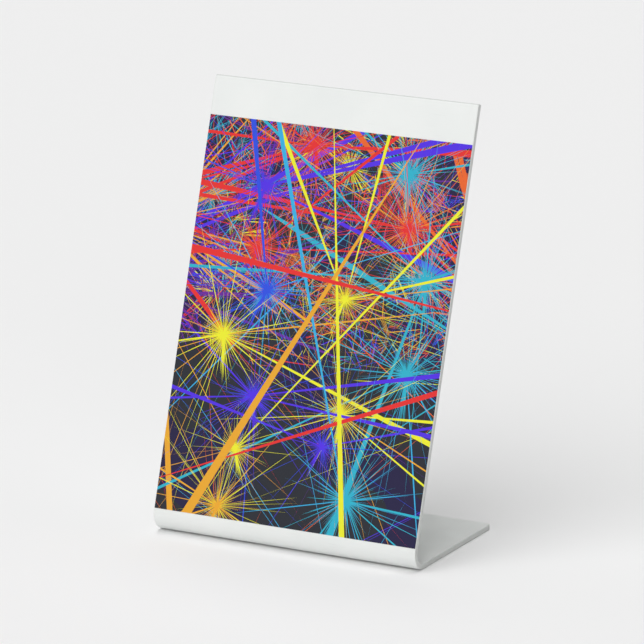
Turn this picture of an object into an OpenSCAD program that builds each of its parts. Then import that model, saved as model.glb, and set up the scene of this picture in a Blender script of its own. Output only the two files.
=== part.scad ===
// Slant-back tabletop sign: one stiff sheet, bent once into a leaning face and a foot,
// with a printed picture on the face.
//
// The sheet's outline lies in the Y-Z plane and is drawn out along X. The face looks
// towards -Y and leans back over the foot. The origin is on the table, at the centre
// of the sign's footprint.

/* [Sheet] */
// Width of the sheet, from side to side
sheet_width = 101.6; // [50:0.1:300]
// Thickness of the sheet
sheet_thickness = 2; // [1:0.1:5]
// Length of the flat part of the face, from the bend to the top edge
face_length = 152; // [60:0.5:300]
// Length of the flat part of the foot, from the bend to the rear edge
foot_length = 51.5; // [20:0.5:150]
// Radius of the foot's two rear corners, seen from above
corner_radius = 1.5; // [0.5:0.1:10]

/* [Bend] */
// Radius of the outside of the bend
bend_radius = 6.5; // [5.5:0.1:20]
// Angle by which the face leans back from upright
lean = 17.5; // [5:0.5:35]

/* [Print] */
// Thickness of the cured ink
ink_thickness = 0.1; // [0.05:0.01:0.5]
// White margin between the print and the top edge of the sheet
top_margin = 14; // [0:0.5:40]
// Distance from the start of the bend to the lower edge of the print
bottom_gap = 0.3; // [0:0.1:10]
// Bare strip along each side of the print, where the sheet's edge is eased
side_inset = 0.2; // [0:0.1:5]

/* [Hidden] */

$fn = 96;

// The bend's centre in the Y-Z plane, with the footprint's centre at y = 0
bend_y = (bend_radius - foot_length) / 2;
bend_z = bend_radius;
foot_end = bend_y + foot_length;
// Angle through which the sheet is bent, from the foot round to the face
bend_turn = 90 + lean;
print_length = face_length - top_margin - bottom_gap;

// Stands an outline up in the Y-Z plane and draws it out along X, centred on x = 0
module drawn_out(width) {
    rotate([90, 0, 90])
        linear_extrude(height = width, center = true)
            children();
}

// Moves an outline drawn along a vertical face, whose front is at x = -bend_radius
// and whose lower end is level with the bend's centre, to the leaning face
module on_the_face() {
    translate([bend_y, bend_z])
        rotate(-lean)
            children();
}

// The quarter and a bit of a ring that joins the foot to the face
module bend_outline() {
    reach = 4 * bend_radius;
    translate([bend_y, bend_z])
        intersection() {
            difference() {
                circle(r = bend_radius);
                circle(r = bend_radius - sheet_thickness);
            }
            polygon([
                [0, 0],
                [0, -reach],
                [-reach, -reach],
                reach * [cos(270 - bend_turn), sin(270 - bend_turn)]
            ]);
        }
}

module foot_outline() {
    translate([bend_y, 0])
        square([foot_length, sheet_thickness]);
}

module face_outline() {
    on_the_face()
        translate([-bend_radius, 0])
            square([sheet_thickness, face_length]);
}

// What is cut away to round the foot's rear right-hand corner
module corner_waste() {
    overlap = 1;
    translate([sheet_width / 2 - corner_radius, foot_end - corner_radius, -overlap])
        linear_extrude(height = sheet_thickness + 2 * overlap)
            difference() {
                square(corner_radius + overlap);
                circle(r = corner_radius);
            }
}

// The whole stand, made from one sheet: foot, bend and face
module bent_sheet() {
    color("whitesmoke")
        difference() {
            drawn_out(sheet_width)
                union() {
                    foot_outline();
                    bend_outline();
                    face_outline();
                }
            corner_waste();
            mirror([1, 0, 0])
                corner_waste();
        }
}

// The picture, a thin film of cured ink that runs across the whole face
module printed_ink() {
    color("midnightblue")
        drawn_out(sheet_width - 2 * side_inset)
            on_the_face()
                translate([-bend_radius - ink_thickness, bottom_gap])
                    square([ink_thickness, print_length]);
}

bent_sheet();
printed_ink();
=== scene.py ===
"""Looks of a slant-back tabletop sign: one bent white sheet with a printed ray pattern.

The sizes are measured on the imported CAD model. Lengths are in metres unless a name
says otherwise.
"""
import math
import random

import bmesh
import bpy
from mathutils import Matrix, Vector


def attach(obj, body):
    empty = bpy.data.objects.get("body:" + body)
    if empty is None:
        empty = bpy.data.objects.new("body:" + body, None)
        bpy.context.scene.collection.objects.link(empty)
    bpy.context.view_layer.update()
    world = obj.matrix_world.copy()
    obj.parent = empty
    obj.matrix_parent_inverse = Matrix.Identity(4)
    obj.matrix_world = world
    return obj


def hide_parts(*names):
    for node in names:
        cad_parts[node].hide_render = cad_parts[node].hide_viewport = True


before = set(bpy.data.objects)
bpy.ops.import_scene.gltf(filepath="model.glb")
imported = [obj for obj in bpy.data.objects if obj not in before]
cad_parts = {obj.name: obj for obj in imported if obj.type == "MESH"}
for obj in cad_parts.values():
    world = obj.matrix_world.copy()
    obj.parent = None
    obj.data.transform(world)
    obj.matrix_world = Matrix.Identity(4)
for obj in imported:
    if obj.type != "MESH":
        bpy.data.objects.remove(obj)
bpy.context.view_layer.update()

MM = 0.001
TAU = 2 * math.pi

# The camera's heading, in degrees from straight in front of the sign towards its right-hand
# side, and its height above the level, in degrees
CAMERA_AZIMUTH = 28.0
CAMERA_ELEVATION = 15.03
# What it aims at, how far off it stands, and its lens and sensor in millimetres
CAMERA_AIM = Vector((-0.25, 0.11, 74.81)) * MM
CAMERA_DISTANCE = 1.805
LENS = 294
SENSOR_WIDTH = 36
# The colour of the floor, and that of the backdrop, which looks like the floor in the light
FLOOR_TONE = 0.86
BACKDROP_TONE = 0.863


# ---------------------------------------------------------------- measuring the frame

def side_outline(node):
    """The points at the right-hand side of a drawn-out CAD node."""
    return [v.co.copy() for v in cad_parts[node].data.vertices if v.co.x > 0]


def measure_sheet():
    """The driving sizes of the bent sheet, from its CAD node."""
    touching = 0.01 * MM
    points = side_outline("bent_sheet")
    face_top, back_top = sorted({tuple(p) for p in points}, key=lambda p: -p[2])[:2]
    face_top, back_top = Vector(face_top), Vector(back_top)
    rear_y = max(p.y for p in points)
    bend_y = min(p.y for p in points if p.z < touching)
    thickness = (face_top - back_top).length
    lean = math.asin((face_top.z - back_top.z) / thickness)
    # The bend's circle touches the table where the foot starts, and touches the face's plane
    reach = math.cos(lean) * (bend_y - face_top.y) + math.sin(lean) * face_top.z
    radius = reach / (1 + math.sin(lean))
    centre = Vector((0, bend_y, radius))
    tangent = centre + radius * Vector((0, -math.cos(lean), math.sin(lean)))
    rear_corner_x = max(p.x for p in points if p.y > rear_y - touching)
    return {
        "width": 2 * face_top.x,
        "thickness": thickness,
        "radius": radius - thickness / 2,
        "centre": centre,
        "turn": math.pi / 2 + lean,
        "foot": rear_y - bend_y,
        "face": (Vector((0, face_top.y, face_top.z)) - tangent).length,
        "corner": face_top.x - rear_corner_x,
    }


sheet = measure_sheet()
sheet["bend"] = sheet["radius"] * sheet["turn"]
sheet["length"] = sheet["foot"] + sheet["bend"] + sheet["face"]


def on_bent_sheet(across, along, out):
    """Where a point of the flat sheet is once the sheet is bent.

    It lies across from the middle, along from the foot's rear edge, and out from the middle
    of the thickness towards the printed side.
    """
    turn = min(max((along - sheet["foot"]) / sheet["radius"], 0), sheet["turn"])
    outward = Vector((0, -math.sin(turn), -math.cos(turn)))
    onward = Vector((0, -math.cos(turn), math.sin(turn)))
    straight = along - sheet["foot"] - turn * sheet["radius"]
    place = sheet["centre"] + outward * (sheet["radius"] + out) + onward * straight
    return place + Vector((across, 0, 0))


# ---------------------------------------------------------------- meshes

def steps(start, end, count):
    """Evenly spaced values from start up to, but not including, end."""
    return [start + (end - start) * i / count for i in range(count)]


def corner_rows(width, edge, radius, end, outwards):
    """Rows round the two corners at one end of a plate, from the end inwards.

    A row is its place along the plate, half its width, and the way out of its right-hand side.
    """
    corner_steps = 6
    inner = radius - edge
    rows = []
    for i in range(corner_steps + 1):
        turn = math.pi / 2 * i / corner_steps
        along = end - outwards * (radius - inner * math.cos(turn))
        half = width / 2 - radius + inner * math.sin(turn)
        rows.append((along, half, (math.sin(turn), outwards * math.cos(turn))))
    return rows


def rim_profile(thickness, edge):
    """The eased edge from the front to the back: how far outwards, and out of the plate."""
    edge_steps = 4
    core = thickness / 2 - edge
    turns = [math.pi / 2 * i / edge_steps for i in range(edge_steps + 1)]
    front = [(edge * math.sin(t), core + edge * math.cos(t)) for t in turns[1:]]
    back = [(edge * math.cos(t), -core - edge * math.sin(t)) for t in turns[:-1]]
    return front + back


def make_plate(name, width, length, thickness, edge, corners, between, rim_slot, place):
    """A closed plate with rounded corners and eased edges, which place() puts in the scene.

    The places on the flat plate stay on the mesh, as the attribute flat_place.
    """
    columns = 24
    start_rows = corner_rows(width, edge, corners[0], 0, -1)
    end_rows = corner_rows(width, edge, corners[1], length, 1)
    side = (width / 2 - edge, (1, 0))
    rows = start_rows + [(along, *side) for along in between] + end_rows[::-1]

    mesh = bmesh.new()
    flat_place = mesh.verts.layers.float_vector.new("flat_place")

    def add_point(across, along, out):
        point = mesh.verts.new(place(across, along, out))
        point[flat_place] = (across, along, out)
        return point

    def add_face(points, slot):
        face = mesh.faces.new(points)
        face.smooth = True
        face.material_index = slot

    def across_at(row, column):
        return rows[row][1] * (1 - 2 * column / columns)

    # The front and the back: a grid of points each
    grids = []
    for out in (thickness / 2, -thickness / 2):
        grid = [
            [add_point(across_at(r, i), rows[r][0], out) for i in range(columns + 1)]
            for r in range(len(rows))
        ]
        grids.append(grid)
        for row, following in zip(grid, grid[1:]):
            for i in range(columns):
                add_face((row[i], row[i + 1], following[i + 1], following[i]), 0)

    # The rim: once round the plate, with the way out of the plate at each point
    last = len(rows) - 1
    around = [(r, 0, rows[r][2]) for r in range(last + 1)]
    around += [(last, i, (0, 1)) for i in range(1, columns)]
    around += [(r, columns, (-rows[r][2][0], rows[r][2][1])) for r in range(last, -1, -1)]
    around += [(0, i, (0, -1)) for i in range(columns - 1, 0, -1)]
    strips = []
    for r, i, way_out in around:
        strip = [grids[0][r][i]]
        for away, out in rim_profile(thickness, edge):
            across = across_at(r, i) + away * way_out[0]
            along = rows[r][0] + away * way_out[1]
            strip.append(add_point(across, along, out))
        strips.append(strip + [grids[1][r][i]])
    for strip, following in zip(strips, strips[1:] + strips[:1]):
        for i in range(len(strip) - 1):
            add_face((strip[i], strip[i + 1], following[i + 1], following[i]), rim_slot)

    bmesh.ops.recalc_face_normals(mesh, faces=mesh.faces)
    data = bpy.data.meshes.new(name)
    mesh.to_mesh(data)
    mesh.free()
    piece = bpy.data.objects.new(name, data)
    bpy.context.scene.collection.objects.link(piece)
    piece.modifiers.new("flat_faces", "WEIGHTED_NORMAL").weight = 100
    return piece


def make_sheet():
    edge = 0.3 * MM
    top_corner = 0.5 * MM
    corners = (sheet["corner"], top_corner)
    face_start = sheet["foot"] + sheet["bend"]
    between = steps(sheet["corner"], sheet["foot"], 12)[1:]
    between += steps(sheet["foot"], face_start, 28)
    between += steps(face_start, sheet["length"] - top_corner, 36)
    piece = make_plate(
        "acrylic_sheet", sheet["width"], sheet["length"], sheet["thickness"], edge, corners,
        between, 1, on_bent_sheet,
    )
    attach(piece, "root")
    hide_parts("bent_sheet")
    return piece


def make_print():
    """The ink film, as long, wide and thick as its CAD node. Returns it and its length."""
    edge = 0.03 * MM
    corner = 0.06 * MM
    outline = side_outline("printed_ink")
    foot_of_face = on_bent_sheet(0, sheet["foot"] + sheet["bend"], 0)
    up_face = on_bent_sheet(0, sheet["length"], 0) - foot_of_face
    up_face.normalize()
    out_of_face = Vector((0, -up_face.z, up_face.y))
    heights = [(p - foot_of_face).dot(up_face) for p in outline]
    depths = [(p - foot_of_face).dot(out_of_face) for p in outline]
    length = max(heights) - min(heights)
    film = max(depths) - min(depths)
    lift = min(depths) + film / 2
    start = sheet["foot"] + sheet["bend"] + min(heights)
    piece = make_plate(
        "ink_film", 2 * max(p.x for p in outline), length, film, edge, (corner, corner),
        steps(corner, length - corner, 36)[1:], 0,
        lambda across, along, out: on_bent_sheet(across, start + along, lift + out),
    )
    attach(piece, "root")
    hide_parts("printed_ink")
    return piece, length


# ---------------------------------------------------------------- node helpers

def linear(hex_colour):
    """A #rrggbb colour as linear RGBA."""
    parts = [int(hex_colour[i:i + 2], 16) / 255 for i in (1, 3, 5)]
    return [c / 12.92 if c <= 0.04045 else ((c + 0.055) / 1.055) ** 2.4 for c in parts] + [1]


class Graph:
    """Adds nodes to a tree in the order in which they feed each other."""

    def __init__(self, tree):
        self.tree = tree

    def add(self, kind, inputs=(), **settings):
        node = self.tree.nodes.new("ShaderNode" + kind)
        for name, value in settings.items():
            setattr(node, name, value)
        for name, value in dict(inputs).items():
            self.feed(node.inputs[name], value)
        return node

    def feed(self, socket, value):
        if isinstance(value, bpy.types.NodeSocket):
            self.tree.links.new(value, socket)
        else:
            socket.default_value = value

    def math(self, operation, *values):
        node = self.add("Math", enumerate(values), operation=operation)
        return node.outputs[0]

    def vector(self, operation, *values):
        node = self.add("VectorMath", enumerate(values), operation=operation)
        return node.outputs["Value" if operation in ("LENGTH", "DOT_PRODUCT") else "Vector"]

    def noise(self, place, per_mm, detail=0):
        """Smooth noise from 0 to 1; place is in millimetres."""
        node = self.add("TexNoise", {"Vector": place, "Scale": per_mm, "Detail": detail})
        return node.outputs["Fac"]

    def spread(self, value, low, high, start=0.3, end=0.7):
        """Value, mapped from start..end to low..high."""
        node = self.add("MapRange", {"Value": value, "From Min": start, "From Max": end})
        self.feed(node.inputs["To Min"], low)
        self.feed(node.inputs["To Max"], high)
        return node.outputs["Result"]

    def bump(self, height, depth):
        """A normal bent by height, which runs from 0 to 1 over the given depth in metres."""
        node = self.add("Bump", {"Height": height, "Distance": depth, "Strength": 1})
        return node.outputs["Normal"]

    def flat_place(self):
        """The place on the flat plate, in millimetres: across, along, and out of it."""
        place = self.add("Attribute", attribute_name="flat_place").outputs["Vector"]
        return self.vector("MULTIPLY", place, [1 / MM] * 3)

    def mix(self, factor, first, second):
        node = self.add("Mix", data_type="RGBA")
        self.feed(node.inputs[0], factor)
        self.feed(node.inputs[6], first)
        self.feed(node.inputs[7], second)
        return node.outputs[2]


def new_material(name):
    """An empty node material and its graph."""
    material = bpy.data.materials.new(name)
    material.use_nodes = True
    material.node_tree.nodes.clear()
    return material, Graph(material.node_tree)


def finish_material(g, colour, roughness, normal, specular):
    """The shader and the output; specular is one number, set on the shader's own socket."""
    shader = g.add(
        "BsdfPrincipled", {"Base Color": colour, "Roughness": roughness, "Normal": normal}
    )
    shader.inputs["Specular IOR Level"].default_value = specular
    g.add("OutputMaterial", {"Surface": shader.outputs[0]})


# ---------------------------------------------------------------- the printed pattern

PICTURE_SEED = 7
GROUND = linear("#303239")
INDIGO_GROUND = linear("#2c2848")
RED = linear("#e33736")
ORANGE = linear("#e76833")
AMBER = linear("#e8a735")
YELLOW = linear("#ebea37")
SKY = linear("#3caddf")
TEAL = linear("#35b1c9")
BLUE = linear("#3553de")
VIOLET = linear("#5636e2")
PURPLE = linear("#6a2f9c")


def paint_group(name, numbers):
    """A new node group with the given number inputs, its graph and its input sockets."""
    tree = bpy.data.node_groups.new(name, "ShaderNodeTree")
    for number in numbers:
        tree.interface.new_socket(number, in_out="INPUT", socket_type="NodeSocketFloat")
    for colour in ("Colour", "Under"):
        tree.interface.new_socket(colour, in_out="INPUT", socket_type="NodeSocketColor")
    tree.interface.new_socket("Painted", in_out="OUTPUT", socket_type="NodeSocketColor")
    given = tree.nodes.new("NodeGroupInput").outputs
    return tree, Graph(tree), given


def rays_group():
    """Paints one burst of straight rays over the colour that comes in.

    The circle round the centre is cut into equal cells, and each cell's random numbers say
    whether it holds a ray, and where, how wide and how long that ray is.
    """
    numbers = (
        "Across", "Up", "Centre Across", "Centre Up", "Cells", "Seed", "Share", "Width",
        "Wedge", "Near", "Far", "Tuft", "Hang",
    )
    tree, g, given = paint_group("rays", numbers)
    aside = g.math("SUBTRACT", given["Across"], given["Centre Across"])
    below = g.math("SUBTRACT", given["Centre Up"], given["Up"])
    square = g.math("MULTIPLY_ADD", aside, aside, g.math("MULTIPLY", below, below))
    distance = g.math("SQRT", square)
    angle = g.math("ARCTAN2", aside, below)
    cells_per_radian = g.math("DIVIDE", given["Cells"], TAU)
    turned = g.math("MULTIPLY", angle, cells_per_radian)
    cell = g.math("FLOOR", turned)
    in_cell = g.math("SUBTRACT", turned, cell)
    noise = g.add(
        "TexWhiteNoise", {"W": g.math("ADD", cell, given["Seed"])}, noise_dimensions="1D"
    )
    present = g.math("LESS_THAN", noise.outputs["Value"], given["Share"])
    chance = g.add("SeparateColor", {"Color": noise.outputs["Color"]}).outputs

    # How far the place lies from the middle line of its cell's ray
    middle = g.math("MULTIPLY_ADD", chance["Red"], 0.5, 0.25)
    off_line = g.math("ABSOLUTE", g.math("SUBTRACT", in_cell, middle))
    cell_width = g.math("DIVIDE", distance, cells_per_radian)
    off_line = g.math("MULTIPLY", off_line, cell_width)

    # Most rays are short and a few are long, and those that hang down form a tuft
    hanging = g.math("COSINE", g.math("SUBTRACT", angle, given["Hang"]))
    hanging = g.math("POWER", g.math("MAXIMUM", hanging, 0), 90)
    tuft = g.math("MULTIPLY", hanging, given["Tuft"])
    rare = g.math("POWER", chance["Green"], 6)
    reach = g.math("MULTIPLY_ADD", given["Far"], rare, given["Near"])
    reach = g.math("MULTIPLY", reach, g.math("MULTIPLY_ADD", chance["Green"], 0.8, 0.2))
    reach = g.math("ADD", reach, g.math("MULTIPLY", tuft, g.math("ADD", chance["Green"], 0.6)))

    # Half the ray's width at this distance, which falls to nothing at the ray's end
    fan = g.math("MULTIPLY", g.math("POWER", chance["Blue"], 6), given["Wedge"])
    stout = g.math("MULTIPLY_ADD", tuft, 0.15, g.math("ADD", chance["Blue"], 0.4))
    half = g.math("MULTIPLY_ADD", fan, distance, g.math("MULTIPLY", given["Width"], stout))
    run_out = g.math("POWER", g.math("DIVIDE", distance, reach), 2)
    half = g.math("MULTIPLY", half, g.math("SUBTRACT", 1, run_out))

    mask = g.math("MULTIPLY", g.math("LESS_THAN", off_line, half), present)
    painted = g.mix(mask, given["Under"], given["Colour"])
    g.feed(tree.nodes.new("NodeGroupOutput").inputs["Painted"], painted)
    return tree


def beam_group():
    """Paints one long straight ray that widens steadily from its burst."""
    numbers = (
        "Across", "Up", "Centre Across", "Centre Up", "Heading Across", "Heading Up",
        "Width", "Wedge",
    )
    tree, g, given = paint_group("beam", numbers)
    aside = g.math("SUBTRACT", given["Across"], given["Centre Across"])
    above = g.math("SUBTRACT", given["Up"], given["Centre Up"])
    along = g.math("MULTIPLY", above, given["Heading Up"])
    along = g.math("MULTIPLY_ADD", aside, given["Heading Across"], along)
    off_line = g.math("MULTIPLY", above, given["Heading Across"])
    off_line = g.math("SUBTRACT", g.math("MULTIPLY", aside, given["Heading Up"]), off_line)
    half = g.math("MULTIPLY_ADD", along, given["Wedge"], given["Width"])
    mask = g.math("LESS_THAN", g.math("ABSOLUTE", off_line), half)
    mask = g.math("MULTIPLY", mask, g.math("GREATER_THAN", along, 0))
    painted = g.mix(mask, given["Under"], given["Colour"])
    g.feed(tree.nodes.new("NodeGroupOutput").inputs["Painted"], painted)
    return tree


class Painter:
    """Paints rays one over another, the last one on top. Lengths are in millimetres."""

    def __init__(self, graph, across, up, ground):
        self.graph = graph
        self.place = {"Across": across, "Up": up}
        self.colour = ground
        self.groups = {"rays": rays_group(), "beam": beam_group()}
        self.seed = 0

    def paint(self, kind, values):
        node = self.graph.tree.nodes.new("ShaderNodeGroup")
        node.node_tree = self.groups[kind]
        for name, value in {**self.place, **values, "Under": self.colour}.items():
            self.graph.feed(node.inputs[name], value)
        self.colour = node.outputs["Painted"]

    def rays(self, centre, colour, cells, width, near, **more):
        self.seed += 1000
        values = {
            "Centre Across": centre[0], "Centre Up": centre[1], "Colour": colour, "Cells": cells,
            "Width": width, "Near": near, "Share": 1, "Seed": self.seed,
        }
        values.update({name.title(): value for name, value in more.items()})
        self.paint("rays", values)

    def beam(self, centre, heading, colour, width, wedge):
        """One long ray; its heading is in degrees clockwise from straight up."""
        turn = math.radians(heading)
        self.paint("beam", {
            "Centre Across": centre[0], "Centre Up": centre[1], "Heading Across": math.sin(turn),
            "Heading Up": math.cos(turn), "Width": width, "Wedge": wedge, "Colour": colour,
        })


def paint_hatching(painter, chooser, crowd, height):
    """Fine nearly parallel lines, as rays of far-off bursts."""
    colours = (TEAL, PURPLE, YELLOW, VIOLET, SKY, ORANGE, AMBER, BLUE, RED, TEAL)
    share = painter.graph.math("MULTIPLY_ADD", crowd, 0.08, 0.035)
    for i, colour in enumerate(colours):
        turn = TAU * (i + chooser.random()) / len(colours)
        centre = (90 * math.sin(turn), height / 2 + 100 * math.cos(turn))
        painter.rays(centre, colour, 900, 0.1, 150, far=60, share=share)


def paint_tangle(painter, chooser, place, crowd):
    """Layers of short hatching: in each cell of an uneven grid the lines run their own way."""
    g = painter.graph
    colours = (PURPLE, RED, VIOLET, TEAL, ORANGE, BLUE, YELLOW, AMBER, RED, ORANGE)
    for i, colour in enumerate(colours):
        cell_size = 26 - 1.6 * i
        away = (chooser.uniform(0, 500), chooser.uniform(0, 500), 0)
        shifted = g.vector("ADD", place, away)
        # Each colour keeps to its own patches of the picture
        patch = g.noise(shifted, 0.035)
        share = g.math("MULTIPLY", g.spread(patch, 0, 0.38, start=0.42, end=0.58), crowd)
        grid = g.add(
            "TexVoronoi", {"Vector": shifted, "Scale": 1 / cell_size}, voronoi_dimensions="2D"
        )
        chance = g.add("SeparateColor", {"Color": grid.outputs["Color"]}).outputs
        seed = g.math("FLOOR", g.math("MULTIPLY", chance["Red"], 9999))
        from_middle = g.vector("SUBTRACT", shifted, grid.outputs["Position"])
        middle = g.add("SeparateXYZ", {"Vector": g.vector("SUBTRACT", place, from_middle)}).outputs
        reach = 2.2 * cell_size
        centre = [
            g.math("MULTIPLY_ADD", g.math("SUBTRACT", chance[drawn], 0.5), reach, middle[axis])
            for drawn, axis in (("Green", "X"), ("Blue", "Y"))
        ]
        painter.rays(
            centre, colour, 170, 0.18, 0.8 * cell_size, far=reach, share=share, seed=seed,
        )


def paint_streaks(painter, chooser, crowd, width, height):
    """Fans of long streaks from bursts just outside the two sides of the picture."""
    share = painter.graph.math("MULTIPLY_ADD", crowd, 0.3, 0.08)
    side = 1
    for colour in (VIOLET, TEAL, PURPLE, RED, AMBER, ORANGE, RED):
        side = -side
        centre = (side * width * chooser.uniform(0.55, 0.85), height * chooser.uniform(0.45, 0.9))
        painter.rays(centre, colour, 190, 0.24, 60, far=110, wedge=0.035, share=share)


def choose_bursts(chooser):
    """Two bursts, one warm and one cool, on each level of the picture, from the top down.

    Each is its place (-1 to 1 across, 0 to 1 up), its two colours, its size, and its beams as
    (heading in degrees, widening per millimetre).
    """
    levels = 8
    hot = ((RED, ORANGE), (YELLOW, AMBER), (ORANGE, RED), (RED, AMBER))
    golden = ((YELLOW, AMBER), (AMBER, YELLOW))
    cool = ((TEAL, SKY), (VIOLET, BLUE), (BLUE, SKY), (SKY, TEAL), (VIOLET, PURPLE))
    bursts = []
    for level in range(levels):
        in_upper_half = level < levels / 2
        warm = hot if in_upper_half else golden
        side = chooser.choice((-1, 1))
        for half, pairs in ((side, warm), (-side, cool)):
            across = half * chooser.uniform(0.1, 0.9)
            up = (levels - level - chooser.uniform(0.2, 0.8)) / levels
            most_beams, widest = (5, 0.018) if in_upper_half else (3, 0.012)
            beams = [
                (chooser.choice((-90, 90)) + chooser.gauss(0, 32), chooser.uniform(0.003, widest))
                for _ in range(chooser.randint(1, most_beams))
            ]
            bursts.append((across, up, chooser.choice(pairs), chooser.uniform(0.7, 1.3), beams))
    return bursts


def paint_bursts(painter, chooser, width, height):
    """Each burst's long rays, its beams, its short rays in two colours, and its hanging tuft."""
    for across_share, up_share, colours, size, beams in choose_bursts(chooser):
        centre = (across_share * width / 2, up_share * height)
        first, second = colours
        painter.rays(centre, second, 40, 0.08 * size, 24 * size, far=130, wedge=0.008, share=0.5)
        for heading, wedge in beams:
            painter.beam(centre, heading, first, 0.15, wedge)
        painter.rays(centre, second, 34, 0.09 * size, 14 * size, far=40 * size)
        painter.rays(centre, first, 56, 0.12 * size, 17 * size, far=45 * size)
        hang = math.radians(chooser.uniform(-25, 25))
        painter.rays(centre, first, 220, 0.07, 1.5 * size, tuft=12 * size, hang=hang)


def paint_crossing(painter, chooser, width, height):
    """A few broad beams from bursts outside the picture, which narrow on their way across it."""
    for i, colour in enumerate((SKY, RED, YELLOW, AMBER, RED)):
        turn = TAU * (i + chooser.uniform(-0.3, 0.3)) / 5
        centre = (0.9 * width * math.sin(turn), height * (0.5 + 0.6 * math.cos(turn)))
        heading = math.degrees(turn) + 180 + chooser.uniform(-25, 25)
        start_width = chooser.uniform(0.9, 2)
        painter.beam(centre, heading, colour, start_width, -start_width / 170)


def paint_pattern(g, width, height):
    """The printed picture: bursts of rays over a near-black ground. Lengths are in millimetres."""
    chooser = random.Random(PICTURE_SEED)
    parts = g.add("SeparateXYZ", {"Vector": g.flat_place()}).outputs
    across = parts["X"]
    up = parts["Y"]
    place = g.add("CombineXYZ", {"X": across, "Y": up}).outputs[0]
    patch = g.noise(place, 0.03)
    ground = g.mix(g.math("GREATER_THAN", patch, 0.5), GROUND, INDIGO_GROUND)

    # How crowded the fine rays are: thin in the lower half of the picture, thick in the upper
    crowd = g.spread(up, 0, 1, start=0.38 * height, end=0.62 * height)
    painter = Painter(g, across, up, ground)
    paint_hatching(painter, chooser, crowd, height)
    paint_tangle(painter, chooser, place, crowd)
    paint_streaks(painter, chooser, crowd, width, height)
    paint_bursts(painter, chooser, width, height)
    paint_crossing(painter, chooser, width, height)
    return painter.colour, place


def ink_material(width, height):
    """Flat opaque ink, with the fine uneven skin that cured droplets leave."""
    material, g = new_material("printed_rays")
    colour, place = paint_pattern(g, width, height)
    droplets = g.noise(place, 4, detail=2)
    roughness = g.spread(droplets, 0.52, 0.66)
    finish_material(g, colour, roughness, g.bump(droplets, 0.006 * MM), 0.15)
    return material


# ---------------------------------------------------------------- the sheet's materials

def acrylic_material():
    """Opal white acrylic, faintly clouded, with a satin skin that ripples round the bend."""
    material, g = new_material("opal_acrylic")
    place = g.flat_place()
    cloud = g.noise(place, 0.04, detail=4)
    colour = g.mix(g.spread(cloud, 0, 1), linear("#eaedeb"), linear("#eff1ef"))
    # Faint rubbed marks: noise stretched into short hairlines, here and there
    stretched = g.vector("MULTIPLY", place, (0.12, 4, 1))
    marks = g.spread(g.noise(stretched, 1, detail=2), 0, 1, start=0.64, end=0.74)
    marks = g.math("MULTIPLY", marks, g.spread(g.noise(place, 0.07), 0, 1, start=0.45, end=0.6))
    colour = g.mix(g.math("MULTIPLY", marks, 0.5), colour, linear("#dfe2e1"))
    grain = g.noise(place, 5, detail=2)
    peel = g.noise(place, 0.5, detail=1)
    roughness = g.math("MULTIPLY_ADD", grain, 0.08, g.spread(g.noise(place, 0.15), 0.30, 0.42))
    roughness = g.math("MULTIPLY_ADD", marks, 0.12, roughness)

    # Heating the sheet to bend it leaves low waves, which die away to both sides of the bend
    along = g.vector("DOT_PRODUCT", place, (0, 1, 0))
    bend_length = sheet["bend"] / MM
    bend_middle = sheet["foot"] / MM + bend_length / 2
    from_bend = g.math("ABSOLUTE", g.math("SUBTRACT", along, bend_middle))
    near_bend = g.spread(from_bend, 1, 0, start=0.3 * bend_length, end=1.2 * bend_length)
    waves = g.noise(g.vector("MULTIPLY", place, (0.12, 0.5, 1)), 1, detail=1)
    height = g.math("MULTIPLY", waves, near_bend)
    for relief, depth in ((peel, 0.15), (grain, 0.03), (marks, -0.03)):
        height = g.math("MULTIPLY_ADD", relief, depth, height)
    finish_material(g, colour, roughness, g.bump(height, 0.06 * MM), 0.5)
    return material


def cut_edge_material():
    """The sheet's cut edges, with fine saw lines through the thickness: a painted shade makes them
    greyer than its faces.
    """
    material, g = new_material("cut_acrylic_edge")
    place = g.flat_place()
    parts = g.add("SeparateXYZ", {"Vector": place}).outputs
    around = g.math("ADD", parts["X"], parts["Y"])
    lines = g.add("TexNoise", {"W": around, "Scale": 3.5, "Detail": 3}, noise_dimensions="1D")
    lines = lines.outputs["Fac"]
    patches = g.noise(place, 0.12, detail=2)
    tone = g.math("MULTIPLY_ADD", lines, 0.6, g.math("MULTIPLY", patches, 0.4))
    tone = g.spread(tone, 0, 1, start=0.35, end=0.65)
    # Painted shade: these edge colours are a little greyer than the faces' to darken the side and
    # end faces
    colour = g.mix(tone, linear("#e5e8e5"), linear("#eceeec"))
    # Painted shade: a strip along the top edge is painted much greyer than the other edges, to
    # stand in for the shade that lies on it
    top_edge_start = sheet["length"] / MM - 0.4
    painted_top_shade = g.math("GREATER_THAN", parts["Y"], top_edge_start)
    colour = g.mix(painted_top_shade, colour, linear("#cbcecb"))
    roughness = g.spread(lines, 0.5, 0.68)
    finish_material(g, colour, roughness, g.bump(lines, 0.012 * MM), 0.35)
    return material


# ---------------------------------------------------------------- stage, light and camera

def make_stage():
    half = 6
    data = bpy.data.meshes.new("floor")
    corners = [(-half, -half, 0), (half, -half, 0), (half, half, 0), (-half, half, 0)]
    data.from_pydata(corners, [], [(0, 1, 2, 3)])
    floor = bpy.data.objects.new("floor", data)
    bpy.context.scene.collection.objects.link(floor)
    material = bpy.data.materials.new("pale_floor")
    material.use_nodes = True
    shader = material.node_tree.nodes["Principled BSDF"]
    shader.inputs["Base Color"].default_value = (FLOOR_TONE, FLOOR_TONE, FLOOR_TONE, 1)
    shader.inputs["Roughness"].default_value = 1
    shader.inputs["Specular IOR Level"].default_value = 0
    data.materials.append(material)


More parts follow.
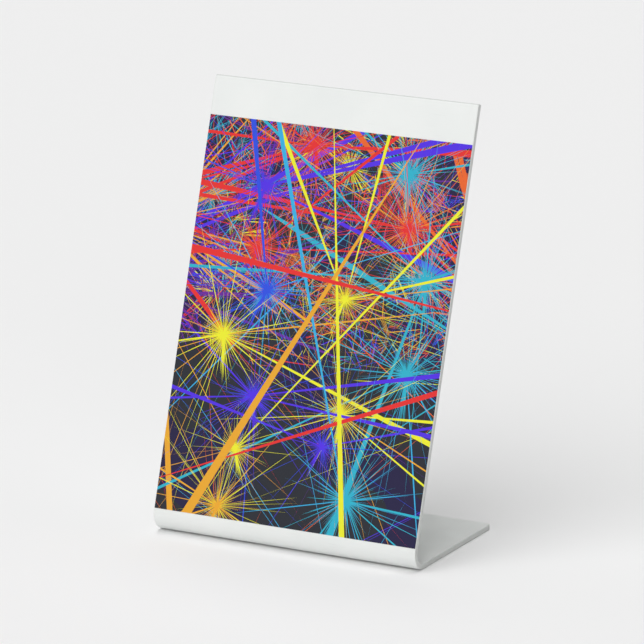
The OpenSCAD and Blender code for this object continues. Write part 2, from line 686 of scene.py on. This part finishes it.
def aim_from(degrees_right, degrees_up):
    """A unit vector towards a place seen from the object, turned from the camera's heading."""
    turn = math.radians(CAMERA_AZIMUTH + degrees_right)
    rise = math.radians(degrees_up)
    return Vector((
        math.sin(turn) * math.cos(rise),
        -math.cos(turn) * math.cos(rise),
        math.sin(rise),
    ))


def make_light():
    """Very wide soft lights: a key high on the left, a low front fill and one overhead."""
    # Name, degrees to the camera's right, degrees up, strength, and width in degrees
    lights = (
        ("key", -45, 49, 0.57, 60),
        ("front_fill", 0, 10, 0.24, 50),
        ("overhead", 180, 75, 0.54, 50),
    )
    for name, degrees_right, degrees_up, strength, spread in lights:
        data = bpy.data.lights.new(name, "SUN")
        data.energy = strength * math.pi
        data.angle = math.radians(spread)
        light = bpy.data.objects.new(name, data)
        towards = aim_from(degrees_right, degrees_up)
        light.rotation_euler = towards.to_track_quat("Z", "Y").to_euler()
        bpy.context.scene.collection.objects.link(light)

    # The backdrop is seen by the camera alone, and adds no light of its own
    world = bpy.data.worlds.new("studio")
    world.use_nodes = True
    g = Graph(world.node_tree)
    background = world.node_tree.nodes["Background"]
    background.inputs["Color"].default_value = (BACKDROP_TONE, BACKDROP_TONE, BACKDROP_TONE, 1)
    g.feed(background.inputs["Strength"], g.add("LightPath").outputs["Is Camera Ray"])
    bpy.context.scene.world = world


def make_camera():
    data = bpy.data.cameras.new("camera")
    data.lens = LENS
    data.sensor_width = SENSOR_WIDTH
    camera = bpy.data.objects.new("camera", data)
    back = aim_from(0, CAMERA_ELEVATION)
    camera.location = CAMERA_AIM + back * CAMERA_DISTANCE
    camera.rotation_euler = (-back).to_track_quat("-Z", "Y").to_euler()
    bpy.context.scene.collection.objects.link(camera)
    bpy.context.scene.camera = camera


bpy.context.scene.view_settings.view_transform = "Standard"
make_camera()
make_light()
make_stage()
sheet_piece = make_sheet()
sheet_piece.data.materials.append(acrylic_material())
sheet_piece.data.materials.append(cut_edge_material())
print_piece, print_length = make_print()
print_piece.data.materials.append(ink_material(sheet["width"] / MM, print_length / MM))
